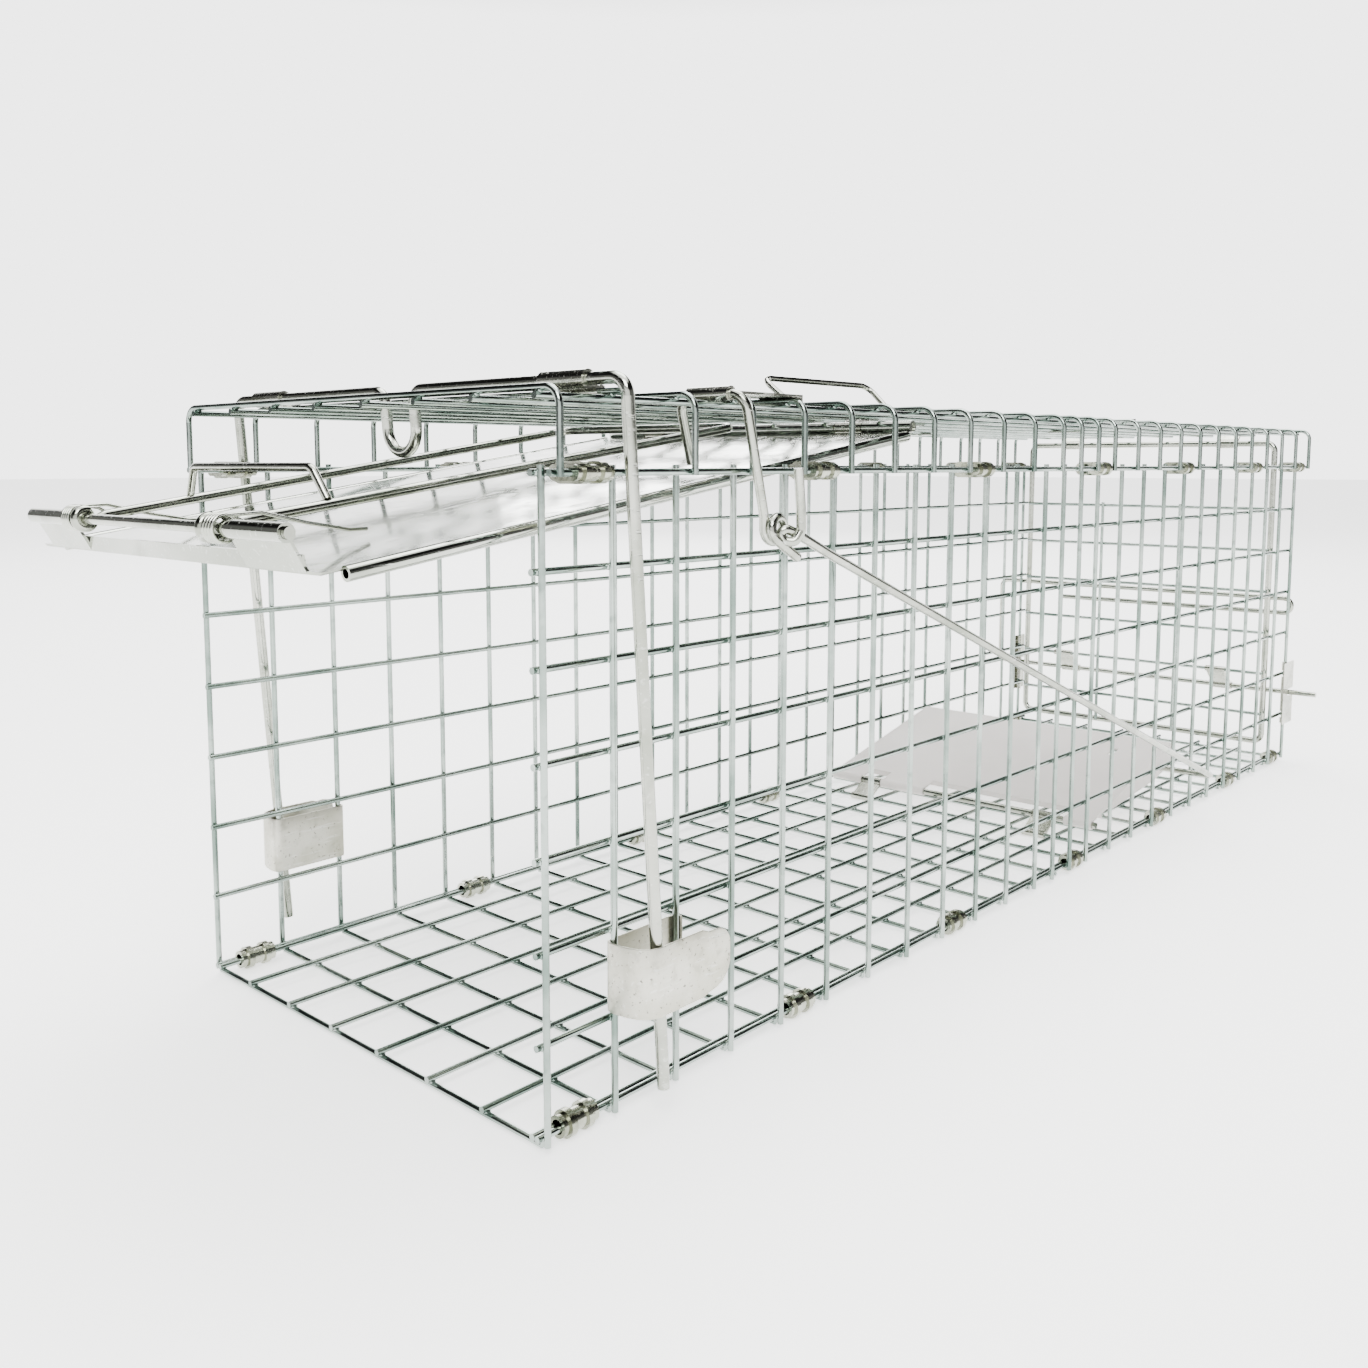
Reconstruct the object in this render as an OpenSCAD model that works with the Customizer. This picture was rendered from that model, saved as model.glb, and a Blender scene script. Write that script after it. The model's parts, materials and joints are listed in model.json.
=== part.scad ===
// Live catch trap: a folding cage of welded mesh with a drop door, a treadle pan and a rear release door.
// The trap stands on the clips along its lower edges, at z = 0. +X runs from the drop door to the rear door.

/* [Cage] */
// Mesh pitch
pitch = 25.4; // [20:0.1:32]
// Cells along the cage
cells_long = 24; // [21:1:30]
// Cells across the cage
cells_wide = 7; // [6:1:9]
// Cells up a side wall
cells_high = 7; // [6:1:9]
// Mesh wire diameter
wire_d = 2; // [1.6:0.1:2.4]
// Clear gap between crossing or neighbouring mesh wires
weld_gap = 0.05; // [0.03:0.01:0.1]
// How far the wire ends stand past the outer wires
stub = 2; // [1:0.1:3]
// How far the roof cover's flanges stand outside the side walls
flange_out = 7.3; // [6.5:0.1:9]
// Depth of the roof cover's flanges, roof wire to edge wire
flange_depth = 21.5; // [20:0.1:27]
// Bend radius of the roof cover's corners
cover_bend = 5; // [4:0.5:8]

/* [Edge clips] */
// Clip length
clip_l = 13; // [9:0.5:14]
// Clip sheet thickness
clip_wall = 1.1; // [0.8:0.1:1.3]
// How far the crimped ribs stand out
clip_rib = 0.8; // [0.4:0.1:1]

/* [Door] */
// Distance from the front of the cage to the door hinge
door_hinge_in = 192; // [180:1:215]
// Door plate length, hinge to front edge
door_l = 252; // [244:1:258]
// Door width over its rolled hems
door_w = 161; // [120:1:162]
// Sheet thickness of the door and the small straps
sheet_t = 0.8; // [0.6:0.1:1]
// How far the set door hangs below level
door_rest = 8.4; // [7.5:0.1:9.5]
// Outer diameter of the rolled hems
hem_d = 4; // [3.4:0.1:5]
// Height of the outer pivot rod above the door hinge line, square to the plate
ear_rise = 8.4; // [8:0.1:11]
// Width of each ear
ear_w = 27; // [20:1:30]
// Distance from the door's middle to the outer end of each ear
ear_out = 72; // [66:1:75]

/* [Rods] */
// Diameter of the hinge, lock, trigger and trip rods
rod_d = 3; // [2.6:0.1:3.4]
// Diameter of the brace and of the rear door frame
frame_d = 3.6; // [3.2:0.1:4]
// Radial clearance of a rod turning in its eye
run_gap = 0.08; // [0.04:0.01:0.1]
// Clearance between pieces that pass each other
pass_gap = 0.4; // [0.3:0.05:0.6]
// Bend radius of the rods, to the middle of the wire
rod_bend = 5; // [4:0.5:7]

/* [Lock bar] */
// Length of the lock bar's legs
lock_l = 195; // [170:1:198]
// Distance between the legs at the pivot rod
lock_w = 73; // [64:1:74]
// Distance between the legs at the cross rod
lock_tip_w = 89; // [80:1:96]
// Distance from the pivot rod to the finger bail
bail_at = 33; // [28:1:45]
// Height of the finger bail above the legs
bail_h = 10; // [8:0.5:12]
// Wire diameter of the finger bail
bail_d = 2.4; // [2:0.1:3]
// Spring wire diameter
spring_d = 1.4; // [1.2:0.1:1.8]
// Turns in each spring coil
spring_turns = 4; // [3:1:5]

/* [Brace] */
// Distance from the front of the cage to the brace's cross rod
brace_in = 20.5; // [19:0.5:20.5]
// How far the brace leans back
brace_lean = 4; // [3:0.5:5]
// Width of the hanging hook in the cross rod
hook_w = 15; // [14:1:20]
// Depth of the hanging hook
hook_drop = 19; // [14:1:24]
// Height of the wall sleeves
sleeve_h = 20; // [16:1:22]
// How far the wall sleeves reach behind the second wall wire
sleeve_over = 7; // [4:0.5:8]

/* [Trigger] */
// Distance from the front of the cage to the trigger shaft
trigger_in = 69; // [67:0.5:70]
// Slope of the trigger's outer arm
trigger_lean = 18; // [14:1:26]
// Length of the trigger's outer arm, shaft to eye
trigger_arm = 41.5; // [40:0.5:46]
// Length of the trigger's inner arm
trigger_inner = 21; // [18:0.5:25.5]
// Height of the standing tail on the trip rod
tail_l = 17; // [12:1:20]

/* [Pan] */
// Distance from the front of the cage to the pan's pivot wire
pan_in = 366; // [362:0.5:368]
// Pan length, pivot to rear edge
pan_l = 101; // [90:1:110]
// Pan width
pan_w = 152; // [120:1:154]
// Slope of the set pan
pan_slope = 13; // [11:0.5:14]
// Pan sheet thickness
pan_t = 1; // [0.8:0.1:1.2]
// Distance from the pivot wire to the trip rod's hole, along the pan
crank_at = 84; // [82:0.5:88]
// Depth of the trip rod's hole below the pivot wire, square to the pan
crank_drop = 5.5; // [5:0.5:7]

/* [Rear door] */
// Distance from the rear of the cage to the rear door frame
rear_in = 7.6; // [7:0.1:8]
// Clearance from the frame to the side walls and the floor
rear_clear = 5; // [4.8:0.1:8]
// Height of the lock rod
lock_z = 43; // [40:0.5:44]
// Height of the lock rod's spring loop
loop_z = 101; // [99:0.5:103]

/* [Handle and guard] */
// Distance from the front of the cage to the middle of the handle
handle_in = 254; // [253:0.5:255]
// Length of the handle's grip
grip_l = 80; // [71:1:81]
// Distance between the handle's feet
feet_l = 71; // [70:0.5:72]
// Length of the handle's legs
leg_l = 30; // [26:1:34]
// How far the handle leans over at rest
handle_lean = 50; // [40:1:62]
// Handle wire diameter
handle_d = 2.6; // [2.2:0.1:3]
// Distance from the front of the cage to the guard plate
guard_in = 211; // [209:1:230]
// Guard plate length
guard_l = 251; // [200:1:260]
// Guard plate width
guard_w = 101; // [80:1:110]

/* [Hidden] */
$fn = 48;

zinc = [0.78, 0.80, 0.78];
dull_zinc = [0.66, 0.67, 0.64];
pan_grey = [0.80, 0.77, 0.74];
spring_grey = [0.60, 0.63, 0.58];

cage_l = cells_long * pitch;
cage_w = cells_wide * pitch;
half_w = cage_w / 2;
lay = wire_d + weld_gap;
floor_clip_in = lay + weld_gap;
floor_clip_r = floor_clip_in + clip_wall + clip_rib;
base_z = floor_clip_r;
roof_z = base_z + cells_high * pitch + flange_depth;
rail_z = base_z + cells_high * pitch;
flange_y = half_w + flange_out;
front_x = -cage_l / 2;
narrow_at = 11;
narrow_pitch = pitch * 2 / 3;
pin_d = rod_d;
eye_in = pin_d / 2 + run_gap;
eye_out = eye_in + sheet_t;

function wall_x(i) = front_x + i * pitch;
function near_x(i) = i <= narrow_at ? wall_x(i)
    : i <= narrow_at + 3 ? wall_x(narrow_at) + (i - narrow_at) * narrow_pitch
    : wall_x(i - 1);
near_wires = cells_long + 1;
function row_y(i) = -half_w + i * pitch;
function row_z(i) = base_z + i * pitch;

hem_lap = 1.3;
lip_h = 4.5;
ear_reach = 3.5;

door_x = front_x + door_hinge_in;
door_z = roof_z - lay - wire_d / 2 - pass_gap - eye_out;
plate_top = -1.3;
plate_mid = plate_top - sheet_t / 2;
hem_y = door_w / 2 - hem_d / 2;
hem_z = plate_top - sheet_t - hem_d / 2 + hem_lap;
pivot_x = -door_l - ear_reach;
strap_w = 12;
strap_y = half_w - 1.5 * pitch;

coil_d = 8;

brace_x = front_x + brace_in;
brace_z = roof_z + wire_d / 2 + pass_gap + frame_d / 2;
brace_y = flange_y + wire_d / 2 + pass_gap + frame_d / 2;

trigger_x = front_x + trigger_in;
trigger_z = roof_z - lay + wire_d / 2 + pass_gap + rod_d / 2;
trigger_y = -(flange_y + wire_d / 2 + pass_gap + rod_d / 2);
link_y = trigger_y - 3.95;
eye_x = trigger_x + trigger_arm * sin(trigger_lean);
eye_z = trigger_z - trigger_arm * cos(trigger_lean);

pan_x = front_x + pan_in;
pan_z = base_z + wire_d / 2 + weld_gap + pin_d / 2 + 2.2;
crank_x = pan_x + crank_at * cos(pan_slope) + crank_drop * sin(pan_slope);
crank_z = pan_z + crank_at * sin(pan_slope) - crank_drop * cos(pan_slope);

rear_x = -front_x - rear_in;
rear_z = roof_z - lay - wire_d / 2 - frame_d / 2 - 2.4;
rear_y = half_w - lay - wire_d / 2 - rear_clear - frame_d / 2;
rear_low = base_z + wire_d / 2 + rear_clear + frame_d / 2;
lock_x = -front_x + wire_d / 2 + pass_gap + rod_d / 2;

handle_x = front_x + handle_in;
handle_y = row_y(3);
handle_z = roof_z - lay;
guard_z = roof_z + wire_d / 2 + weld_gap;
guard_x = front_x + guard_in;

// A straight round bar from a to b
module bar(a, b, d) {
    v = b - a;
    translate(a) rotate([0, acos(v.z / norm(v)), atan2(v.y, v.x)]) cylinder(h = norm(v), d = d);
}

function unit(v) = v / norm(v);
function across(u, v) = unit(v - (v * u) * u);

// A bent wire through the points p: each straight, then the bend into the next one, made in turn
module wire_form(p, d, bend) {
    u = unit(p[1] - p[0]);
    tip = acos(u.z);
    spin = atan2(u.y, u.x);
    side = [cos(tip) * cos(spin), cos(tip) * sin(spin), -sin(tip)];
    translate(p[0]) rotate([0, tip, spin]) wire_run(p, d, bend, 0, side, 0);
}

module wire_run(p, d, bend, i, side, used) {
    u = unit(p[i + 1] - p[i]);
    last = i == len(p) - 2;
    v = last ? u : unit(p[i + 2] - p[i + 1]);
    turn = last ? 0 : round(1000 * acos(min(1, u * v))) / 1000;
    r = is_list(bend) ? bend[min(i, len(bend) - 1)] : bend;
    cut = r * tan(turn / 2);
    run = norm(p[i + 1] - p[i]) - used - cut;
    if (run > 0.01) cylinder(h = run, d = d);
    if (!last) {
        n = across(u, v);
        roll = atan2(n * cross(u, side), n * side);
        translate([0, 0, run]) rotate([0, 0, roll]) {
            translate([r, 0, 0]) rotate([90, 0, 180])
                rotate_extrude(angle = turn) translate([r, 0]) circle(d = d);
            translate([r, 0, 0]) rotate([0, turn, 0]) translate([-r, 0, 0])
                wire_run(p, d, bend, i + 1, n * cos(turn) - u * sin(turn), cut);
        }
    }
}

// A round ring lying across y, centred at (x, y, z)
module ring_y(x, y, z, inner, outer, w) {
    translate([x, y + w / 2, z]) rotate([90, 0, 0]) difference() {
        cylinder(h = w, r = outer);
        translate([0, 0, -1]) cylinder(h = w + 2, r = inner);
    }
}

// A sheet strap rolled round two rods that lie along y, (xa, za) and (xb, zb)
module strap_y_rods(y, w, xa, za, ra, xb, zb, rb) {
    v = [xb - xa, zb - za];
    n = [-v.y, v.x] / norm(v) * sheet_t * 0.75;
    translate([xa, y + w / 2, za]) rotate([90, 0, 0]) linear_extrude(height = w) difference() {
        union() {
            circle(r = ra + sheet_t);
            translate(v) circle(r = rb + sheet_t);
            polygon([n, -n, v - n, v + n]);
        }
        circle(r = ra);
        translate(v) circle(r = rb);
    }
}

// ---- Cage mesh ----

module floor_mesh() color(zinc) {
    edge = half_w - 2 * lay;
    for (i = [0 : cells_wide]) {
        y = i == 0 ? -edge : i == cells_wide ? edge : row_y(i);
        bar([front_x - stub, y, base_z], [-front_x + stub, y, base_z], wire_d);
    }
    for (i = [0 : cells_long])
        bar([wall_x(i), -edge - lay, base_z - lay], [wall_x(i), edge + lay, base_z - lay], wire_d);
}

// A side wall in the plane y = 0, its upright wires outside at -y
module side_mesh(uprights, irregular) {
    for (i = [0 : uprights - 1]) {
        x = irregular ? near_x(i) : wall_x(i);
        bar([x, 0, base_z - stub], [x, 0, rail_z + stub], wire_d);
    }
    for (k = [0 : cells_high])
        bar([front_x - stub, lay, row_z(k)], [-front_x + stub, lay, row_z(k)], wire_d);
}

module side_mesh_near() color(zinc) translate([0, -half_w, 0]) side_mesh(near_wires + 1, true);

module side_mesh_far() color(zinc) translate([0, half_w, 0]) mirror([0, 1, 0])
    side_mesh(near_wires, false);

module roof_mesh() color(zinc) {
    reach = flange_y - cover_bend;
    for (i = [0 : near_wires])
        bar([near_x(i), -reach, roof_z], [near_x(i), reach, roof_z], wire_d);
    for (k = [0 : cells_wide])
        bar([front_x - stub, row_y(k), roof_z - lay], [-front_x + stub, row_y(k), roof_z - lay], wire_d);
}

// One flange of the roof cover: every cross wire bent down, and the edge wire inside them
module cover_flange() {
    for (i = [0 : near_wires]) {
        translate([near_x(i), -flange_y + cover_bend, roof_z - cover_bend]) rotate([0, -90, 0])
            rotate_extrude(angle = 90, start = 270) translate([cover_bend, 0]) circle(d = wire_d);
        bar([near_x(i), -flange_y, rail_z - wire_d / 2], [near_x(i), -flange_y, roof_z - cover_bend], wire_d);
    }
    bar([front_x - stub, -flange_y + lay, rail_z], [-front_x + stub, -flange_y + lay, rail_z], wire_d);
}

module cover_flange_near() color(zinc) cover_flange();
module cover_flange_far() color(zinc) mirror([0, 1, 0]) cover_flange();

// ---- Edge clips ----

function mid(a, b) = (a + b) / 2;
function near_mid(c) = c < narrow_at ? mid(near_x(c), near_x(c + 1)) : mid(near_x(c + 1), near_x(c + 2));
function far_mid(c) = mid(wall_x(c), wall_x(c + 1));
clip_cells = [for (c = [0 : 4 : cells_long - 3]) c, cells_long - 1];

// A closed sheet sleeve round two wires a distance apart, lying along x, with two crimped ribs
module edge_clip(apart, inner) {
    module oval(r, l) {
        translate([-l / 2, 0, 0]) rotate([0, 90, 0]) {
            translate([0, -apart / 2, 0]) cylinder(h = l, r = r);
            translate([0, apart / 2, 0]) cylinder(h = l, r = r);
            translate([-r, -apart / 2, 0]) cube([2 * r, apart, l]);
        }
    }
    difference() {
        union() {
            oval(inner + clip_wall, clip_l);
            for (x = [-clip_l / 4, clip_l / 4]) translate([x, 0, 0])
                oval(inner + clip_wall + clip_rib, clip_l / 6);
        }
        oval(inner, clip_l + 2);
    }
}

module round_clip(inner) {
    translate([-clip_l / 2, 0, 0]) rotate([0, 90, 0]) difference() {
        union() {
            cylinder(h = clip_l, r = inner + clip_wall);
            for (x = [1, 3]) translate([0, 0, clip_l * x / 4 - clip_l / 12])
                cylinder(h = clip_l / 6, r = inner + clip_wall + clip_rib);
        }
        translate([0, 0, -1]) cylinder(h = clip_l + 2, r = inner);
    }
}

module floor_clips_near() color(dull_zinc)
    for (c = clip_cells) translate([near_mid(c), -half_w + 1.5 * lay, base_z]) round_clip(floor_clip_in);

module floor_clips_far() color(dull_zinc)
    for (c = clip_cells) translate([far_mid(c), half_w - 1.5 * lay, base_z]) round_clip(floor_clip_in);

roof_clip_y = mid(flange_y - lay, half_w - lay);

module roof_clips_near() color(dull_zinc)
    for (c = clip_cells) translate([near_mid(c), -roof_clip_y, rail_z])
        edge_clip(flange_out, wire_d / 2 + weld_gap);

module roof_clips_far() color(dull_zinc)
    for (c = clip_cells) translate([near_mid(c), roof_clip_y, rail_z])
        edge_clip(flange_out, wire_d / 2 + weld_gap);

// ---- Drop door ----

hinge_half = door_w / 2 - 2.5;
door_roof_wire = near_x(ceil(door_hinge_in / pitch));

module door_hinge_wire() color(zinc) bar([door_x, -hinge_half, door_z], [door_x, hinge_half, door_z], pin_d);

module door_hinge_straps() color(dull_zinc) for (y = [-strap_y, strap_y])
    strap_y_rods(y, strap_w, door_x, door_z, pin_d / 2 + weld_gap,
        door_roof_wire, roof_z, wire_d / 2 + weld_gap);

module on_door() translate([door_x, 0, door_z]) rotate([0, -door_rest, 0]) children();

// Extrudes a profile drawn in x and z across the door, from y - w / 2 to y + w / 2
module across_door(y, w) translate([0, y + w / 2, 0]) rotate([90, 0, 0]) linear_extrude(height = w) children();

module door_plate() color(zinc) on_door() difference() {
    foot = [-door_l + sheet_t / 2, plate_mid];
    curl = [pivot_x, ear_rise];
    n = [ear_rise - plate_mid, ear_reach + sheet_t / 2] / norm(curl - foot) * sheet_t / 2;
    union() {
        across_door(0, 2 * hem_y) difference() {
            union() {
                translate([-door_l, plate_top - sheet_t]) square([door_l, sheet_t]);
                circle(r = eye_out);
            }
            circle(r = eye_in);
        }
        for (side = [-1, 1]) {
            translate([-door_l + 6, side * hem_y, hem_z]) rotate([0, 90, 0]) cylinder(h = door_l - 11, d = hem_d);
            across_door(side * (ear_out - ear_w / 2), ear_w) difference() {
                union() {
                    polygon([foot - n, foot + n, curl + n, curl - n]);
                    translate(curl) circle(r = eye_out);
                }
                translate(curl) circle(r = eye_in);
            }
        }
        across_door(0, 2 * ear_out - 2) translate([-door_l, plate_top - sheet_t]) square([sheet_t, lip_h]);
    }
    for (side = [-1, 1]) {
        translate([-door_l, side * hem_y, hem_z]) rotate([0, 90, 0])
            cylinder(h = door_l + 10, d = hem_d - 2 * sheet_t);
        translate([0, side * strap_y + strap_w / 2 + pass_gap, 0]) rotate([90, 0, 0])
            cylinder(h = strap_w + 2 * pass_gap, r = eye_out + 2 * pass_gap);
    }
}

module door_pivot_rod() color(zinc) on_door()
    bar([pivot_x, -ear_out - 1.5, ear_rise], [pivot_x, ear_out + 1.5, ear_rise], pin_d);

eye_w = rod_d + 0.4;
lock_eye_out = eye_in + 2.4;

module lock_bar() color(zinc) on_door() translate([pivot_x, 0, ear_rise]) difference() {
    union() {
        wire_form([[lock_eye_out - 1, -lock_w / 2, 0], [lock_l, -lock_tip_w / 2, 0],
            [lock_l, lock_tip_w / 2, 0], [lock_eye_out - 1, lock_w / 2, 0]], rod_d, rod_bend);
        for (side = [-1, 1]) ring_y(0, side * lock_w / 2, 0, eye_in, lock_eye_out, eye_w);
    }
    translate([0, cage_w, 0]) rotate([90, 0, 0]) cylinder(h = 2 * cage_w, r = eye_in);
}

module lock_bar_bail() color(zinc) on_door() translate([pivot_x + bail_at, 0, ear_rise]) {
    y = lock_w / 2 + (lock_tip_w - lock_w) / 2 * bail_at / lock_l;
    foot = rod_d / 2 + weld_gap;
    wire_form([[0, -y, foot], [0, -y, bail_h], [0, y, bail_h], [0, y, foot]], bail_d, 3);
}

module lock_spring(side) on_door() translate([pivot_x, 0, ear_rise]) {
    step = spring_d + weld_gap;
    first = ear_out - ear_w - step / 2 - 0.2;
    for (i = [0 : spring_turns - 1]) translate([0, side * (first - i * step), 0]) rotate([90, 0, 0])
        rotate_extrude() translate([(coil_d - spring_d) / 2, 0]) circle(d = spring_d);
    tail_z = plate_top - ear_rise + spring_d / 2 + weld_gap;
    y = side * (first + step * 0.02);
    bar([0, y, coil_d / 2 + spring_d / 2 + weld_gap], [32, y, tail_z], spring_d);
}

module lock_spring_near() color(spring_grey) lock_spring(-1);
module lock_spring_far() color(spring_grey) lock_spring(1);

// ---- Brace ----

brace_leg = brace_z - row_z(0) - 5;

module brace() color(zinc) translate([brace_x, 0, brace_z]) rotate([0, -brace_lean, 0])
    wire_form([[0, -brace_y, -brace_leg], [0, -brace_y, 0], [0, -hook_w / 2, 0],
        [0, -hook_w / 2, -hook_drop], [0, hook_w / 2, -hook_drop], [0, hook_w / 2, 0],
        [0, brace_y, 0], [0, brace_y, -brace_leg]], frame_d,
        [rod_bend, rod_bend - 1, hook_w / 2, hook_w / 2, rod_bend - 1, rod_bend]);

clamp_y = half_w - pitch / 2;

module brace_clamps() color(dull_zinc) for (y = [-clamp_y, clamp_y])
    strap_y_rods(y, pitch * 0.7, brace_x, brace_z, frame_d / 2 + run_gap,
        near_x(1), roof_z, wire_d / 2 + weld_gap);

// A sheet sleeve folded round the second and third wall wires, open at the back, in the wall plane y = 0
module brace_sleeve() {
    inside = -wire_d / 2 - weld_gap;
    out = brace_y + frame_d / 2 + pass_gap - half_w;
    fold = wall_x(1) - wire_d / 2 - 1;
    back = wall_x(2) + wire_d;
    tip = wall_x(2) + sleeve_over;
    flare = 1.5;
    t = sheet_t;
    translate([0, 0, mid(row_z(1), row_z(2)) - sleeve_h / 2]) mirror([0, 1, 0]) linear_extrude(height = sleeve_h)
        polygon([[back, inside - t], [fold, inside - t], [fold - t, inside], [fold - t, out],
            [fold, out + t], [back, out + t], [tip, out + t + flare], [tip, out + flare],
            [back, out], [fold, out], [fold, inside], [back, inside]]);
}

module brace_sleeve_near() color(dull_zinc) translate([0, -half_w, 0]) brace_sleeve();
module brace_sleeve_far() color(dull_zinc) translate([0, half_w, 0]) mirror([0, 1, 0]) brace_sleeve();

// ---- Trigger and pan ----

inner_y = -hem_y + hem_d / 2 + 3;
inner_lean = 16;
hook_reach = 7.9;
tail_x = 18;
tail_z = 12;

module trigger_lever() color(zinc)
    wire_form([[trigger_x + trigger_inner * sin(inner_lean), inner_y, trigger_z - trigger_inner * cos(inner_lean)],
        [trigger_x, inner_y, trigger_z], [trigger_x, trigger_y, trigger_z], [eye_x, trigger_y, eye_z],
        [eye_x, trigger_y - hook_reach, eye_z], [eye_x + tail_x, trigger_y - hook_reach, eye_z - tail_z]],
        rod_d, [3, 4, 2.3, 2.3]);

module trigger_saddle() color(dull_zinc) {
    w = 16;
    y = -half_w + 3;
    low = roof_z - lay + wire_d / 2 + weld_gap;
    top = roof_z + wire_d / 2 + weld_gap;
    back = near_x(4) + wire_d / 2 + weld_gap;
    difference() {
        union() {
            ring_y(trigger_x, y, trigger_z, eye_in, eye_out, w);
            translate([trigger_x, y - w / 2, top]) cube([back - trigger_x + sheet_t, w, sheet_t]);
            translate([back, y - w / 2, low]) cube([sheet_t, w, top - low + sheet_t]);
        }
        translate([trigger_x, y + w, trigger_z]) rotate([90, 0, 0]) cylinder(h = 2 * w, r = eye_in);
        translate([trigger_x - pitch / 2, y - w, low - pitch]) cube([pitch, 2 * w, pitch]);
    }
}

trip_eye_in = rod_d / 2 + 0.6;
trip_eye_out = trip_eye_in + rod_d * 0.8;

module trip_rod() color(zinc) {
    run = unit([crank_x - eye_x, 0, crank_z - eye_z]);
    a = [eye_x, link_y, eye_z];
    difference() {
        union() {
            wire_form([a + run * (trip_eye_out - 1), [crank_x, link_y, crank_z],
                [crank_x, -pan_w / 2 + pan_t + 3, crank_z]], rod_d, 4);
            ring_y(eye_x, link_y, eye_z, trip_eye_in, trip_eye_out, eye_w);
            bar(a + [3, 0, 1.5], a + [4.5, 0, tail_l], rod_d);
        }
        translate([eye_x, link_y + 10, eye_z]) rotate([90, 0, 0]) cylinder(h = 20, r = trip_eye_in);
    }
}

bracket_cell = round(pan_in / pitch);

module pan_pivot_wire() color(zinc)
    bar([pan_x, -pan_w / 2 - 2, pan_z], [pan_x, pan_w / 2 + 2, pan_z], pin_d);

module pan_brackets() color(dull_zinc) for (y = [-strap_y, strap_y])
    strap_y_rods(y, strap_w, pan_x, pan_z, pin_d / 2 + weld_gap,
        wall_x(bracket_cell), base_z - lay, wire_d / 2 + weld_gap);

module pan_plate() color(pan_grey) translate([pan_x, 0, pan_z]) rotate([0, -pan_slope, 0]) difference() {
    half = pan_w / 2;
    deep = crank_drop + eye_in + 3;
    recess = 10;
    over = 0.9;
    union() {
        translate([recess, -half, over]) cube([pan_l - recess, pan_w, pan_t]);
        translate([recess, -half, over - 2]) cube([pan_t, pan_w, 2]);
        for (y = [[-half, -half + 14], [18, strap_y - strap_w / 2 - pass_gap], [strap_y + strap_w / 2 + pass_gap, half]]) {
            translate([0, y[0], over]) cube([recess + pan_t, y[1] - y[0], pan_t]);
            ring_y(0, mid(y[0], y[1]), 0, eye_in, eye_out, y[1] - y[0]);
        }
        for (side = [-1, 1]) translate([0, side < 0 ? -half + pan_t : half, over + pan_t]) rotate([90, 0, 0])
            linear_extrude(height = pan_t)
                polygon([[recess + 8, 0], [recess + 14, -4], [crank_at - 8, -deep - over], [pan_l - 3, -deep - over],
                    [pan_l, 0]]);
    }
    translate([0, cage_w, 0]) rotate([90, 0, 0]) cylinder(h = 2 * cage_w, r = eye_in);
    translate([crank_at, -half + pan_t + 1, -crank_drop]) rotate([90, 0, 0]) cylinder(h = pan_t + 2, r = eye_in);
    translate([pan_l - 26, -half + 22, 0]) cube([9, 3, 5]);
}

// ---- Rear door ----

module rear_frame() color(zinc) translate([rear_x, 0, 0])
    wire_form([[0, 0, rear_low], [0, rear_y, rear_low], [0, rear_y, rear_z], [0, -rear_y, rear_z],
        [0, -rear_y, rear_low], [0, -weld_gap, rear_low]], frame_d, rod_bend);

mesh_x = rear_x - frame_d / 2 - wire_d / 2 - weld_gap;

module rear_mesh() color(zinc) {
    for (k = [1 : cells_high - 1])
        bar([mesh_x, -rear_y, row_z(k)], [mesh_x, rear_y, row_z(k)], wire_d);
    for (y = [-pitch, pitch])
        bar([mesh_x - lay, y, rear_low], [mesh_x - lay, y, row_z(cells_high - 1) + stub], wire_d);
}

module rear_hinge_straps() color(dull_zinc) for (y = [-strap_y, strap_y])
    strap_y_rods(y, strap_w, rear_x, rear_z, frame_d / 2 + run_gap,
        wall_x(cells_long), roof_z, wire_d / 2 + weld_gap);

lock_near = -half_w - 17.5;
lock_far = half_w + 16;
loop_h = 9;

module rear_lock_rod() color(zinc) translate([lock_x, 0, 0])
    wire_form([[0, lock_near, lock_z], [0, lock_far, lock_z], [0, lock_far, loop_z],
        [0, -half_w - 1, loop_z], [0, -half_w - 1, loop_z - loop_h],
        [0, half_w - 30, loop_z - loop_h]], rod_d, [rod_bend, rod_bend, loop_h / 2, loop_h / 2]);

module rear_rod_clips() color(dull_zinc) for (y = [-strap_y, strap_y])
    strap_y_rods(y, strap_w, lock_x, lock_z, eye_in, mesh_x, row_z(2), wire_d / 2 + weld_gap);

// A sheet plate on the last wall wire, notched from behind for the lock rod, in the wall plane y = 0
module rear_keeper() {
    h = 38;
    face = wire_d / 2 + 0.3;
    low = lock_z - h / 2;
    slot = rod_d + 4 * pass_gap;
    difference() {
        union() {
            translate([wall_x(cells_long) - 8, -face - sheet_t, low]) cube([18, sheet_t, h]);
            translate([wall_x(cells_long), 0, low])
                cylinder(h = h, r = wire_d / 2 + weld_gap + sheet_t);
        }
        translate([wall_x(cells_long), 0, low - 1]) cylinder(h = h + 2, r = wire_d / 2 + weld_gap);
        translate([lock_x - slot / 2, -pitch, lock_z - slot / 2]) cube([pitch, 2 * pitch, slot]);
        for (k = [0 : cells_high]) translate([front_x, 0, row_z(k) - wire_d]) cube([cage_l + pitch, pitch, 2 * wire_d]);
    }
}

module rear_keeper_near() color(dull_zinc) translate([0, -half_w, 0]) rear_keeper();
module rear_keeper_far() color(dull_zinc) translate([0, half_w, 0]) mirror([0, 1, 0]) rear_keeper();

// ---- Handle and guard ----

foot_out = wire_d / 2 + run_gap + 2;
foot_w = handle_d + 1.4;

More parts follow.
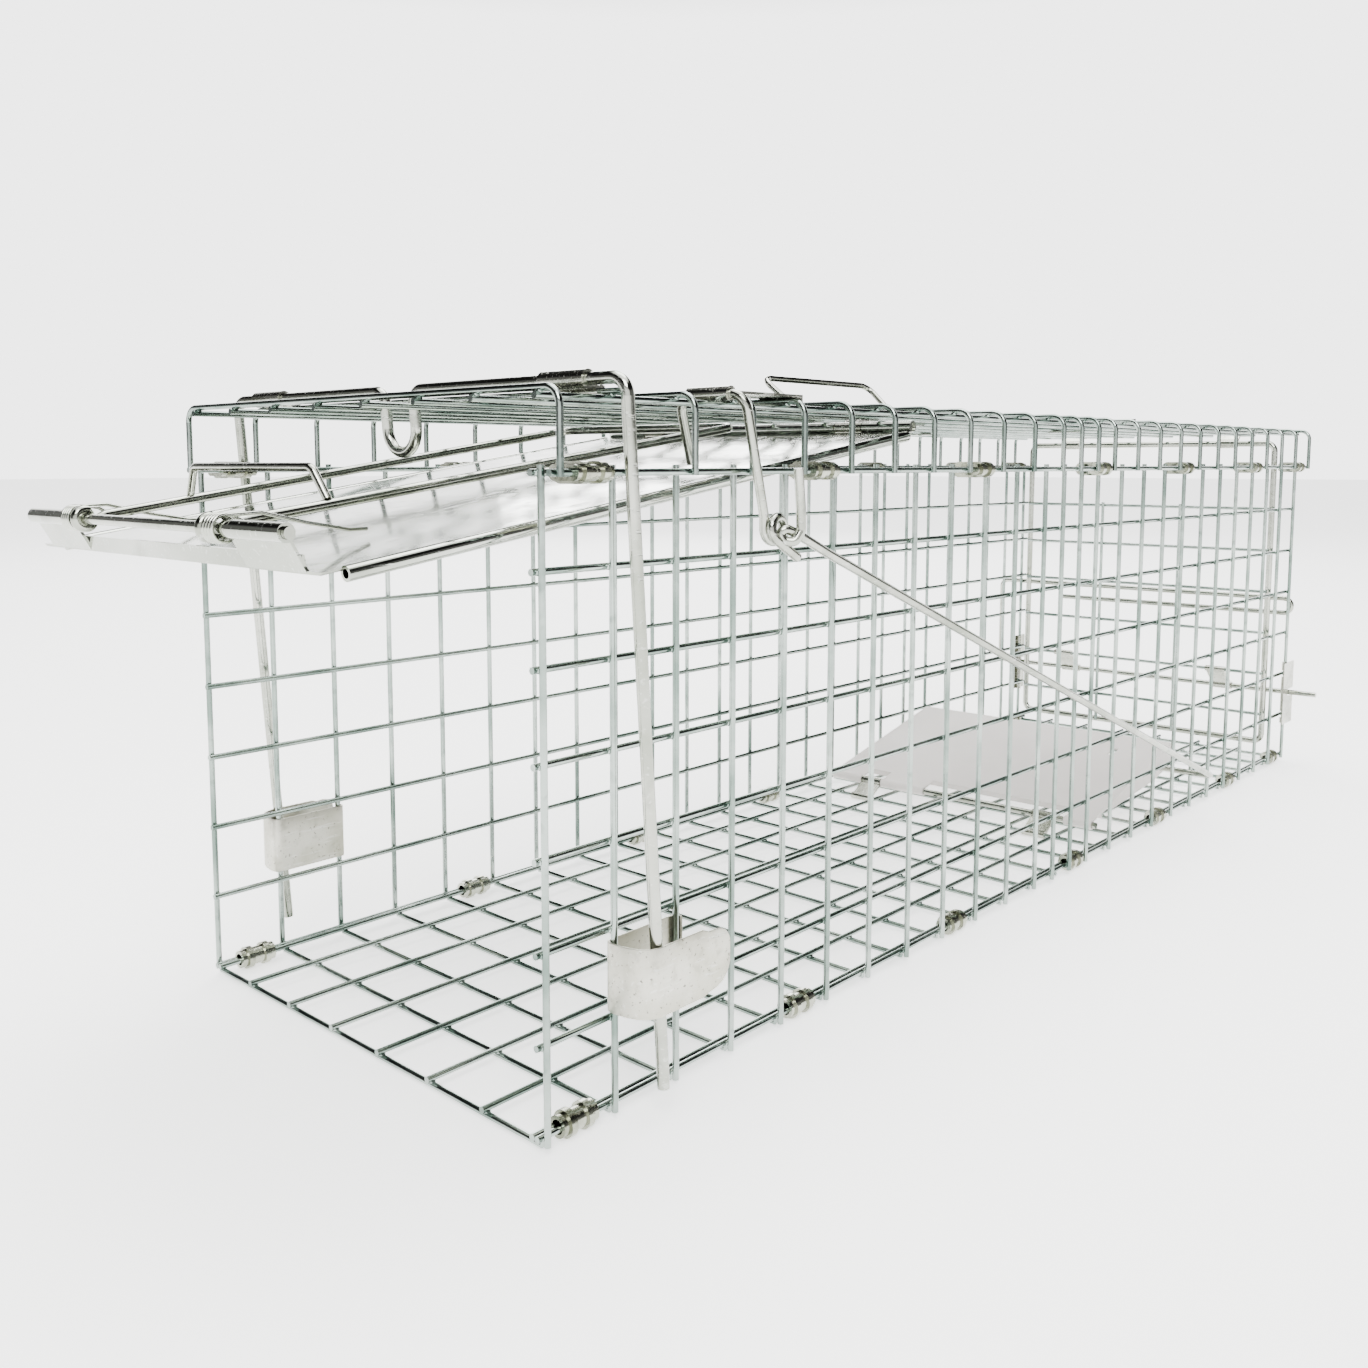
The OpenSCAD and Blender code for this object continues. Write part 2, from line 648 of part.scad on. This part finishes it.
module handle() color(zinc) translate([handle_x, handle_y, handle_z]) rotate([-handle_lean, 0, 0]) difference() {
    union() {
        wire_form([[-feet_l / 2, 0, foot_out - 1], [-grip_l / 2, 0, leg_l], [grip_l / 2, 0, leg_l],
            [feet_l / 2, 0, foot_out - 1]], handle_d, rod_bend);
        for (side = [-1, 1]) translate([side * feet_l / 2 - foot_w / 2, 0, 0]) rotate([0, 90, 0])
            cylinder(h = foot_w, r = foot_out);
    }
    translate([-grip_l, 0, 0]) rotate([0, 90, 0]) cylinder(h = 2 * grip_l, r = wire_d / 2 + run_gap);
}

module hand_guard() color(dull_zinc) {
    rise = 3;
    rear = 55;
    slot_x = handle_d + 2;
    slot_y = 24;
    tab = 10;
    under = roof_z - lay - wire_d / 2 - weld_gap - sheet_t;
    difference() {
        union() {
            translate([guard_x, -guard_w / 2, guard_z]) cube([guard_l - rear, guard_w, sheet_t]);
            translate([guard_x + guard_l - rear, -guard_w / 2, guard_z]) rotate([0, -rise, 0])
                cube([rear, guard_w, sheet_t]);
        }
        for (side = [-1, 1]) translate([handle_x + side * feet_l / 2 - slot_x / 2, handle_y - slot_y / 2, guard_z - 5])
            cube([slot_x, slot_y, 20]);
    }
    for (x = [near_mid(9), near_mid(15)], side = [-1, 1]) {
        translate([x - tab / 2, side > 0 ? guard_w / 2 - sheet_t : -guard_w / 2, under])
            cube([tab, sheet_t, guard_z + sheet_t - under]);
        translate([x - tab / 2, side > 0 ? guard_w / 2 - 15 : -guard_w / 2, under]) cube([tab, 15, sheet_t]);
    }
}

floor_mesh();
side_mesh_near();
side_mesh_far();
roof_mesh();
cover_flange_near();
cover_flange_far();
floor_clips_near();
floor_clips_far();
roof_clips_near();
roof_clips_far();
door_hinge_wire();
door_hinge_straps();
door_plate();
door_pivot_rod();
lock_bar();
lock_bar_bail();
lock_spring_near();
lock_spring_far();
brace();
brace_clamps();
brace_sleeve_near();
brace_sleeve_far();
trigger_lever();
trigger_saddle();
trip_rod();
pan_plate();
pan_pivot_wire();
pan_brackets();
rear_frame();
rear_mesh();
rear_hinge_straps();
rear_lock_rod();
rear_rod_clips();
rear_keeper_near();
rear_keeper_far();
handle();
hand_guard();
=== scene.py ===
import json
import math
from math import cos, radians, sin

import bpy
from mathutils import Matrix, Vector


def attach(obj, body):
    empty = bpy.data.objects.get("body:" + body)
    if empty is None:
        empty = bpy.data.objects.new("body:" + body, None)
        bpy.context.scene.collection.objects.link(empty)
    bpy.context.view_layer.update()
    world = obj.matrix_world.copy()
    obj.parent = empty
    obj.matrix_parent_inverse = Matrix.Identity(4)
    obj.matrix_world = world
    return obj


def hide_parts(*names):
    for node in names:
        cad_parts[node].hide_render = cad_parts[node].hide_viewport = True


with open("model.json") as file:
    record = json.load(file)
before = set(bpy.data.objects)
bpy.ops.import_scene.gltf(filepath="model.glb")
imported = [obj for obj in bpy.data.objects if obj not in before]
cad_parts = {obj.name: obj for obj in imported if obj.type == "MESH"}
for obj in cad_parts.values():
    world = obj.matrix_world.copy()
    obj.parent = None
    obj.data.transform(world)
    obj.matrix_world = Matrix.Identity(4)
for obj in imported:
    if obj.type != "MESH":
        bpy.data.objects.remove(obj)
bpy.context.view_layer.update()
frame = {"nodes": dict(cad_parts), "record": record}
CAD = frame["nodes"]
bpy.ops.object.select_all(action="DESELECT")


# ---- Studio ----
# A plain pale table top that runs far back, three soft lamps, and a room that is pale in front and
# behind with dark flanks, with the trap seen from low in front of its open door.

def aim(thing, place, target):
    thing.location = place
    thing.rotation_euler = (Vector(target) - Vector(place)).to_track_quat("-Z", "Y").to_euler()


bpy.ops.object.camera_add()
camera = bpy.context.object
eye = Vector((-0.5176, -0.3293, 0.1842))
aim(camera, eye, eye + Vector((0.73182, 0.67390, -0.10145)))
camera.data.lens = 33.06
camera.data.sensor_width = 36
camera.data.shift_x = 0.0103
camera.data.shift_y = -0.0678
camera.data.clip_start = 0.01
bpy.context.scene.camera = camera

bpy.ops.mesh.primitive_plane_add(size=30, location=(0, 0, -0.0003))
table = bpy.context.object
table.name = "table_top"
paper = bpy.data.materials.new("pale_table")
paper.use_nodes = True
paper.node_tree.nodes["Principled BSDF"].inputs["Base Color"].default_value = (0.90, 0.90, 0.89, 1)
paper.node_tree.nodes["Principled BSDF"].inputs["Roughness"].default_value = 0.9
paper.node_tree.nodes["Principled BSDF"].inputs["Emission Color"].default_value = (1, 1, 1, 1)
paper.node_tree.nodes["Principled BSDF"].inputs["Emission Strength"].default_value = 1.6
table.data.materials.append(paper)

for name, place, size, power in (
    ("key_lamp", (-1.5, -1.3, 1.9), 1.2, 80),
    ("top_lamp", (0.4, 0.3, 2.4), 1.6, 60),
    ("back_lamp", (1.6, 1.6, 1.2), 1.0, 30),
):
    bpy.ops.object.light_add(type="AREA")
    lamp = bpy.context.object
    lamp.name = name
    lamp.data.size = size
    lamp.data.energy = power
    aim(lamp, place, (0, 0, 0.08))

room = bpy.data.worlds.new("pale_room")
bpy.context.scene.world = room
room.use_nodes = True
sky = room.node_tree
where = sky.nodes.new("ShaderNodeTexCoord")
split = sky.nodes.new("ShaderNodeSeparateXYZ")
height = sky.nodes.new("ShaderNodeMath")
height.operation = "MULTIPLY_ADD"
height.inputs[1].default_value = 0.5
height.inputs[2].default_value = 0.5
toward = sky.nodes.new("ShaderNodeVectorMath")
toward.operation = "DOT_PRODUCT"
toward.inputs[1].default_value = (-0.3678, -0.3377, 0)
facing = sky.nodes.new("ShaderNodeMath")
facing.inputs[1].default_value = 0.5
sky.links.new(where.outputs["Generated"], split.inputs[0])
sky.links.new(split.outputs["Z"], height.inputs[0])
sky.links.new(where.outputs["Generated"], toward.inputs[0])
sky.links.new(toward.outputs["Value"], facing.inputs[0])


def banded(value, bands):
    ramp = sky.nodes.new("ShaderNodeValToRGB")
    while len(ramp.color_ramp.elements) < len(bands):
        ramp.color_ramp.elements.new(0.5)
    for band, (at, grey) in zip(ramp.color_ramp.elements, bands):
        band.position = at
        band.color = (grey, grey, grey, 1)
    sky.links.new(value, ramp.inputs["Fac"])
    return ramp.outputs["Color"]


rows = banded(height.outputs[0],
              ((0.0, 1.0), (0.66, 1.0), (0.71, 0.06), (0.86, 0.04), (0.93, 0.9), (1.0, 1.0)))
sides = banded(facing.outputs[0],
               ((0.0, 1.0), (0.13, 1.0), (0.19, 0.07), (0.86, 0.05), (0.93, 0.50), (1.0, 0.60)))
shade = sky.nodes.new("ShaderNodeMix")
shade.data_type = "RGBA"
shade.blend_type = "MULTIPLY"
shade.inputs[0].default_value = 1.0
sky.links.new(rows, shade.inputs[6])
sky.links.new(sides, shade.inputs[7])
crown = banded(height.outputs[0], ((0.0, 0.0), (0.88, 0.0), (0.94, 1.0)))
lid = sky.nodes.new("ShaderNodeMix")
lid.data_type = "RGBA"
lid.blend_type = "LIGHTEN"
lid.inputs[0].default_value = 1.0
sky.links.new(shade.outputs[2], lid.inputs[6])
sky.links.new(crown, lid.inputs[7])
sky.links.new(lid.outputs[2], sky.nodes["Background"].inputs["Color"])
sky.nodes["Background"].inputs["Strength"].default_value = 4.0


# ---- Mesh of the cage ----
# Floor, walls and roof cover are welded from bright zinc plated 2 mm wire, one inch apart.
# The zinc is faintly green and blue, cloudy, and dull where the wires are welded.

class Feed:
    """A value or colour somewhere in a finish, which can be reckoned with"""

    def __init__(self, finish, socket):
        self.finish = finish
        self.socket = socket

    def reckon(self, how, a, b):
        return self.finish.node("ShaderNodeMath", {"operation": how}, {0: a, 1: b})

    def __add__(self, other):
        return self.reckon("ADD", self, other)

    def __radd__(self, other):
        return self.reckon("ADD", other, self)

    def __sub__(self, other):
        return self.reckon("SUBTRACT", self, other)

    def __rsub__(self, other):
        return self.reckon("SUBTRACT", other, self)

    def __mul__(self, other):
        return self.reckon("MULTIPLY", self, other)

    def __rmul__(self, other):
        return self.reckon("MULTIPLY", other, self)


class Finish:
    """A metal finish built from nodes"""

    def __init__(self, name, metal=1.0):
        self.material = bpy.data.materials.new(name)
        self.material.use_nodes = True
        self.tree = self.material.node_tree
        self.surface = self.tree.nodes["Principled BSDF"]
        self.surface.inputs["Metallic"].default_value = metal
        self.place = self.node("ShaderNodeTexCoord", {}, {}, "Object")

    def node(self, kind, settings, values, out=0):
        made = self.tree.nodes.new(kind)
        for key, value in settings.items():
            if key == "stops":
                ramp = made.color_ramp
                while len(ramp.elements) < len(value):
                    ramp.elements.new(0.5)
                for element, (at, grey) in zip(ramp.elements, value):
                    element.position = at
                    element.color = (grey, grey, grey, 1)
            else:
                setattr(made, key, value)
        for key, value in values.items():
            if isinstance(value, Feed):
                self.tree.links.new(value.socket, made.inputs[key])
            else:
                made.inputs[key].default_value = value
        return Feed(self, made.outputs[out])

    def cloud(self, scale, detail=3.0, stretch=(1, 1, 1)):
        spot = self.node("ShaderNodeMapping", {}, {"Vector": self.place, "Scale": stretch})
        return self.node("ShaderNodeTexNoise", {}, {"Vector": spot, "Scale": scale, "Detail": detail})

    def step(self, value, low, high):
        return self.node("ShaderNodeValToRGB", {"stops": ((low, 0.0), (high, 1.0))}, {0: value})

    def blend(self, share, one, other):
        return self.node("ShaderNodeMix", {"data_type": "RGBA"}, {0: share, 6: one, 7: other}, 2)

    def paint(self, **feeds):
        for name, value in feeds.items():
            self.tree.links.new(value.socket, self.surface.inputs[name.replace("_", " ")])

    def relief(self, height, strength, distance):
        bump = self.node("ShaderNodeBump", {}, {"Height": height, "Strength": strength, "Distance": distance})
        self.paint(Normal=bump)


def zinc(name, light, tint, rough, cloud_size=40.0, scratch=0.0, pits=0.0):
    """Plated steel: cloudy zinc between a light and a tinted tone, with streaks, scratches and pits"""
    finish = Finish(name)
    clouds = finish.cloud(cloud_size, 4.0)
    patches = finish.cloud(cloud_size * 5, 2.0)
    tone = finish.step(clouds, 0.38, 0.66)
    colour = finish.blend(tone, (*light, 1), (*tint, 1))
    dark = tuple(c * 0.72 for c in tint)
    grime = finish.step(patches, 0.56, 0.74)
    colour = finish.blend(grime * 0.45, colour, (*dark, 1))
    roughness = rough + clouds * 0.08 + grime * 0.08
    height = patches
    if scratch:
        lines = finish.cloud(90.0, 5.0, (1, 9, 9))
        cuts = finish.step(lines, 0.60, 0.68)
        colour = finish.blend(cuts * scratch, colour, (0.92, 0.93, 0.93, 1))
        roughness = roughness + cuts * 0.12
        height = height - cuts * 0.5
    if pits:
        holes = finish.step(finish.cloud(900.0, 2.0), 0.64, 0.72)
        colour = finish.blend(holes * pits, colour, (0.20, 0.19, 0.16, 1))
        roughness = roughness + holes * 0.25
        height = height - holes * 0.8
    finish.paint(Base_Color=colour, Roughness=roughness)
    finish.relief(height, 0.12, 0.0004)
    return finish.material


def dress(piece, material):
    piece.data.materials.clear()
    piece.data.materials.append(material)
    for face in piece.data.polygons:
        face.material_index = 0


wire_zinc = zinc("wire_zinc", (0.36, 0.41, 0.38), (0.15, 0.20, 0.175), 0.09)
rod_zinc = zinc("rod_zinc", (0.44, 0.45, 0.40), (0.25, 0.27, 0.22), 0.09, 30.0, scratch=0.2)
clip_zinc = zinc("clip_zinc", (0.44, 0.45, 0.38), (0.24, 0.25, 0.19), 0.15, 60.0, pits=0.2)
sheet_zinc = zinc("sheet_zinc", (0.50, 0.515, 0.47), (0.33, 0.35, 0.30), 0.05, 12.0, scratch=0.2)
strap_zinc = zinc("strap_zinc", (0.46, 0.465, 0.41), (0.26, 0.27, 0.22), 0.13, 60.0, scratch=0.2, pits=0.15)
sleeve_zinc = zinc("sleeve_zinc", (0.58, 0.57, 0.50), (0.42, 0.41, 0.33), 0.34, 60.0, scratch=0.3, pits=0.8)
spring_steel = zinc("spring_steel", (0.62, 0.64, 0.58), (0.40, 0.42, 0.36), 0.12, 60.0)

pan_finish = Finish("pan_zinc", 0.0)
bloom = pan_finish.cloud(26.0, 5.0)
pan_finish.paint(
    Base_Color=pan_finish.blend(
        pan_finish.step(bloom, 0.30, 0.70), (0.71, 0.67, 0.64, 1), (0.64, 0.60, 0.575, 1)),
    Roughness=0.50 + bloom * 0.16)
pan_finish.relief(pan_finish.cloud(500.0, 2.0), 0.10, 0.0002)
pan_zinc = pan_finish.material

slots = {s["node"]: s["material_slot"] for s in frame["record"]["subparts"]}
finishes = {"wire": wire_zinc, "rod": rod_zinc, "clip": clip_zinc, "door_sheet": sheet_zinc,
            "strap": strap_zinc, "sleeve": sleeve_zinc, "pan": pan_zinc, "spring": spring_steel}
for name, node in CAD.items():
    dress(node, finishes[slots[name]])


# ---- Weld spots ----
# Every crossing of two mesh wires is spot welded, which leaves a small squeezed nugget between them.

def active_only(piece):
    bpy.ops.object.select_all(action="DESELECT")
    piece.select_set(True)
    bpy.context.view_layer.objects.active = piece


def change(piece, kind, **settings):
    active_only(piece)
    step = piece.modifiers.new(kind, kind)
    for key, value in settings.items():
        setattr(step, key, value)
    bpy.ops.object.modifier_apply(modifier=step.name)


def settle(piece):
    active_only(piece)
    bpy.ops.object.transform_apply(location=True, rotation=True, scale=True)


def join(name, parts):
    bpy.ops.object.select_all(action="DESELECT")
    for part in parts:
        part.select_set(True)
    bpy.context.view_layer.objects.active = parts[0]
    bpy.ops.object.join()
    parts[0].name = name
    parts[0].data.name = name
    return parts[0]


def fit(piece, body, material, slot_name, *nodes):
    dress(piece, material)
    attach(piece, body)
    if nodes:
        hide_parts(*nodes)


pitch = 0.0254
half_wide = 3.5 * pitch
lay = 0.00205
floor_z = 0.004
cover_z = 0.2033
front = -12 * pitch


def wall_x(i):
    return front + i * pitch


near_wires = [wall_x(i) for i in range(12)] + [wall_x(11) + pitch * i * 2 / 3 for i in (1, 2)]
near_wires += [wall_x(i) for i in range(13, 25)]


def nugget(place, across):
    bpy.ops.mesh.primitive_ico_sphere_add(subdivisions=1, radius=0.0013, location=place)
    spot = bpy.context.object
    spot.scale = [0.55 if axis == across else 1.0 for axis in range(3)]
    settle(spot)
    return spot


def row_of_nuggets(places, across, step, count):
    """One nugget at each place, and each repeated along a row"""
    made = []
    for place in places:
        spot = nugget(place, across)
        change(spot, "ARRAY", use_relative_offset=False, use_constant_offset=True,
               constant_offset_displace=step, count=count)
        made.append(spot)
    return made


spots = []
up = (0, 0, pitch)
over = (0, pitch, 0)
for x in near_wires:
    spots += row_of_nuggets([(x, -half_wide + lay / 2, floor_z)], 1, up, 8)
    spots += row_of_nuggets([(x, -half_wide, cover_z - lay / 2)], 2, over, 8)
for i in range(25):
    spots += row_of_nuggets([(wall_x(i), half_wide - lay / 2, floor_z)], 1, up, 8)
    spots += row_of_nuggets([(wall_x(i), -half_wide + pitch, floor_z - lay / 2)], 2, over, 6)
welds = join("weld_spots", spots)
fit(welds, "cage", wire_zinc, "wire")


# ---- Wall sleeves ----
# A strip of zinc plated sheet on each wall takes the end of a brace leg. It is hooked on the third upright
# wire, runs inside the wall, wraps round the second one and comes back outside to a rounded thumb tab.

def strip(name, a, b, steps):
    """A sheet strip drawn from the edge a-b through steps of (move, share of width kept, slide)"""
    bpy.ops.mesh.primitive_plane_add(size=0.01)
    piece = bpy.context.object
    piece.name = name
    bpy.context.tool_settings.mesh_select_mode = (True, False, False)
    bpy.ops.object.mode_set(mode="EDIT")
    bpy.ops.mesh.select_all(action="DESELECT")
    bpy.ops.object.mode_set(mode="OBJECT")
    for corner in piece.data.vertices:
        corner.select = corner.co.y > 0
    bpy.ops.object.mode_set(mode="EDIT")
    bpy.ops.mesh.delete(type="VERT")
    bpy.ops.object.mode_set(mode="OBJECT")
    for corner, place in zip(piece.data.vertices, (a, b)):
        corner.co = place
        corner.select = True
    bpy.ops.object.mode_set(mode="EDIT")
    for move, keep, slide in steps:
        bpy.ops.mesh.extrude_region_move(TRANSFORM_OT_translate={"value": Vector(move) + Vector(slide)})
        if keep != 1:
            bpy.ops.transform.resize(value=(keep, keep, keep))
    bpy.ops.object.mode_set(mode="OBJECT")
    return piece


def thicken(piece, thick, edge):
    active_only(piece)
    bpy.ops.object.mode_set(mode="EDIT")
    bpy.ops.mesh.select_all(action="SELECT")
    bpy.ops.mesh.remove_doubles(threshold=1e-6)
    bpy.ops.mesh.normals_make_consistent(inside=False)
    bpy.ops.object.mode_set(mode="OBJECT")
    change(piece, "SOLIDIFY", thickness=thick, offset=0)
    change(piece, "BEVEL", width=edge, segments=2, limit_method="ANGLE", angle_limit=radians(50))
    active_only(piece)
    bpy.ops.object.shade_smooth_by_angle(angle=radians(40))


def path_steps(points):
    """Steps between successive points, at full width"""
    return [(Vector(b) - Vector(a), 1, (0, 0, 0)) for a, b in zip(points, points[1:])]


sleeve_low, sleeve_high = 0.0321, 0.0521
for side, name in ((-1, "near"), (1, "far")):
    x1, x2 = wall_x(1), wall_x(2)
    inner, outer = -0.00145, 0.0131
    profile = [(x2 + 0.0016 * cos(t), 0.0016 * sin(t)) for t in [radians(a) for a in (60, 20, -20, -60)]]
    profile += [(x2 - 0.002, inner), (x2 - 0.012, inner), (x1 + 0.001, inner)]
    profile += [(x1 - 0.0001 - 0.0020 * sin(radians(a)), inner + 0.0024 * (1 - cos(radians(a))))
                for a in (30, 60, 90)]
    profile += [(x1 - 0.0020, 0.0035), (x1 - 0.0015, 0.0065), (x1 - 0.0005, 0.0095), (x1 + 0.0015, 0.0119),
                (x1 + 0.0045, outer), (x1 + 0.012, outer), (x2 - 0.003, outer)]
    points = [(x, side * (half_wide + y), 0) for x, y in profile]
    steps = path_steps(points)
    tab = ((0.0020, 0.90, 0.0002, 0.0004), (0.0028, 0.97, 0.0004, 0.0001), (0.0022, 0.92, 0.0004, 0),
           (0.0016, 0.84, 0.0004, 0), (0.0010, 0.72, 0.0003, 0), (0.0005, 0.6, 0.0002, 0))
    for run, keep, lift, flare in tab:
        steps.append((Vector((run, side * 0.0002, 0)), keep, (0, side * flare, lift)))
    first = points[0]
    sleeve = strip(f"wall_sleeve_{name}", (*first[:2], sleeve_low), (*first[:2], sleeve_high), steps)
    thicken(sleeve, 0.0008, 0.00022)
    fit(sleeve, "cage", sleeve_zinc, "sleeve", f"brace_sleeve_{name}")


# ---- Lock bar springs ----
# A torsion spring of thin wire sits on the pivot rod inside each ear. Its long arm lies on the door
# plate and its short arm hooks under the lock bar's leg, so it presses the bar's far end up.

def bent_wire(name, points, thick, sides=5):
    bpy.ops.object.select_all(action="DESELECT")
    line = bpy.data.curves.new(name, "CURVE")
    line.dimensions = "3D"
    line.bevel_depth = thick / 2
    line.bevel_resolution = sides
    line.use_fill_caps = True
    run = line.splines.new("POLY")
    run.points.add(len(points) - 1)
    for knot, place in zip(run.points, points):
        knot.co = (*place, 1)
    made = bpy.data.objects.new(name, line)
    bpy.context.scene.collection.objects.link(made)
    active_only(made)
    bpy.ops.object.convert(target="MESH")
    bpy.ops.object.shade_smooth_by_angle(angle=radians(50))
    return bpy.context.object


door_set = Matrix.Translation((front + 0.192, 0, 0.19747)) @ Matrix.Rotation(radians(-8.4), 4, "Y")
pivot = Vector((-0.2555, 0, 0.0084))


def on_pivot(x, y, z):
    return door_set @ (pivot + Vector((x, y, z)))


for side, name in ((-1, "near"), (1, "far")):
    turns, coil_r, spring_d = 4, 0.0034, 0.0011
    first_y, last_y = 0.0442, 0.0386
    knots = [(0.040, first_y - 0.001, -0.0075), (0.034, first_y, -0.0066), (0.022, first_y, -0.0026),
             (0.010, first_y, 0.0022)]
    total = 24 * turns
    for i in range(total + 1):
        turn = radians(65) + radians(15) * i
        y = first_y + (last_y - first_y) * i / total
        knots.append((coil_r * cos(turn), y, coil_r * sin(turn)))
    knots += [(0.0052, 0.0384, 0.0022), (0.0100, 0.0386, -0.0016), (0.0135, 0.0378, -0.0027),
              (0.0144, 0.0350, -0.0024)]
    spring = bent_wire(f"bar_spring_{name}", [on_pivot(x, side * y, z) for x, y, z in knots], spring_d)
    fit(spring, "door", spring_steel, "spring", f"lock_spring_{name}")


# ---- Lock bar ----
# The lock bar is one length of 3 mm rod: a loop round the pivot rod, a long leg, the tip under the
# roof wires, and the same back again. A thin bail welded on both legs is the finger hold.

def rounded(points, radius, steps=8):
    """The same path with every corner turned in an arc"""
    places = [Vector(p) for p in points]
    out = [places[0]]
    for before, corner, after in zip(places, places[1:], places[2:]):
        back, on = (before - corner).normalized(), (after - corner).normalized()
        half = back.angle(on) / 2
        reach = min(radius / math.tan(half), (before - corner).length * 0.49, (after - corner).length * 0.49)
        tight = reach * math.tan(half)
        middle = corner + (back + on).normalized() * tight / math.sin(half)
        start, end = corner + back * reach - middle, corner + on * reach - middle
        sweep = start.angle(end)
        for i in range(steps + 1):
            share = i / steps
            mixed = start * (math.sin((1 - share) * sweep) / math.sin(sweep))
            out.append(middle + mixed + end * (math.sin(share * sweep) / math.sin(sweep)))
    return out + [places[-1]]


def eye_loop(x, y, z, radius, first, last, drift):
    """A turn of wire round an axis along Y, from one angle to another, drifting sideways by drift"""
    count = max(2, int(abs(last - first) / 15))
    turns = [(first + (last - first) * i / count, drift * i / count) for i in range(count + 1)]
    return [(x + radius * cos(radians(a)), y + d, z + radius * sin(radians(a))) for a, d in turns]


rod_d = 0.003
leg_y, tip_y, bar_l = 0.0365, 0.0445, 0.195
legs = rounded([(0.006, -leg_y, 0), (bar_l, -tip_y, 0), (bar_l, tip_y, 0), (0.006, leg_y, 0)], 0.006)
near_loop = eye_loop(0, -leg_y, 0, 0.0025, 60, 330, 0)
far_loop = eye_loop(0, leg_y, 0, 0.0025, 330, 60, 0)
bar_path = near_loop + [tuple(p) for p in legs] + far_loop
bar = bent_wire("lock_bar_rod", [on_pivot(*p) for p in bar_path], rod_d)
fit(bar, "lock_bar", rod_zinc, "rod", "lock_bar")
bail_x, bail_foot, bail_top = 0.033, 0.0378, 0.0325
bail_path = rounded([(bail_x, -bail_foot, 0.0015), (bail_x, -bail_top, 0.010), (bail_x, bail_top, 0.010),
                     (bail_x, bail_foot, 0.0015)], 0.003)
bail_d = 0.0024
bail = bent_wire("finger_bail", [on_pivot(*p) for p in bail_path], bail_d)
fit(bail, "lock_bar", rod_zinc, "rod", "lock_bar_bail")


# ---- Trigger and trip rod ----
# The trigger is a bent rod with an arm inside the cage that holds the door, a shaft under the saddle and an
# arm outside that ends in a loop with a tail. The trip rod hooks through that loop and runs to the pan.

shaft_x, shaft_z, shaft_y, arm_y = -0.2358, 0.20415, -0.0990, -0.0735
eye_x, eye_z = -0.222976, 0.164681
loop_r = 0.0036
inner_l, inner_lean, rod_bend = 0.021, radians(16), 0.005
arm = rounded([(shaft_x + inner_l * sin(inner_lean), arm_y, shaft_z - inner_l * cos(inner_lean)),
               (shaft_x, arm_y, shaft_z), (shaft_x, shaft_y, shaft_z),
               (eye_x - loop_r, shaft_y, eye_z + 0.004)], rod_bend)
curl = eye_loop(eye_x, shaft_y, eye_z, loop_r, 180, 602, -0.0034)
curl += [(curl[-1][0] + 0.0095, curl[-1][1] - 0.0004, curl[-1][2] - 0.0055)]
lever = bent_wire("trigger_rod", [tuple(p) for p in arm] + curl, rod_d)
fit(lever, "trigger_lever", rod_zinc, "rod", "trigger_lever")

crank = (0.144284, 0.022287)
hook = [(0.0048, -0.1046, -0.0012), (0.0012, -0.1036, 0.0002), (-0.0004, -0.1022, -0.0008),
        (0.0006, -0.1030, -0.0034), (0.0030, -0.1054, -0.0036), (0.0050, -0.1062, -0.0004),
        (0.0048, -0.1062, 0.0060), (0.0034, -0.1062, 0.0180)]
rod_path = rounded([(crank[0], -0.0720, crank[1]), (crank[0], -0.1030, crank[1]),
                    (eye_x + 0.0200, -0.1050, eye_z - 0.0078)], 0.004)
rod_path = rod_path + rounded([(eye_x + x, y, eye_z + z) for x, y, z in hook], 0.0016, 4)
trip = bent_wire("trip_rod_wire", [tuple(p) for p in rod_path], rod_d)
fit(trip, "trip_rod", rod_zinc, "rod", "trip_rod")
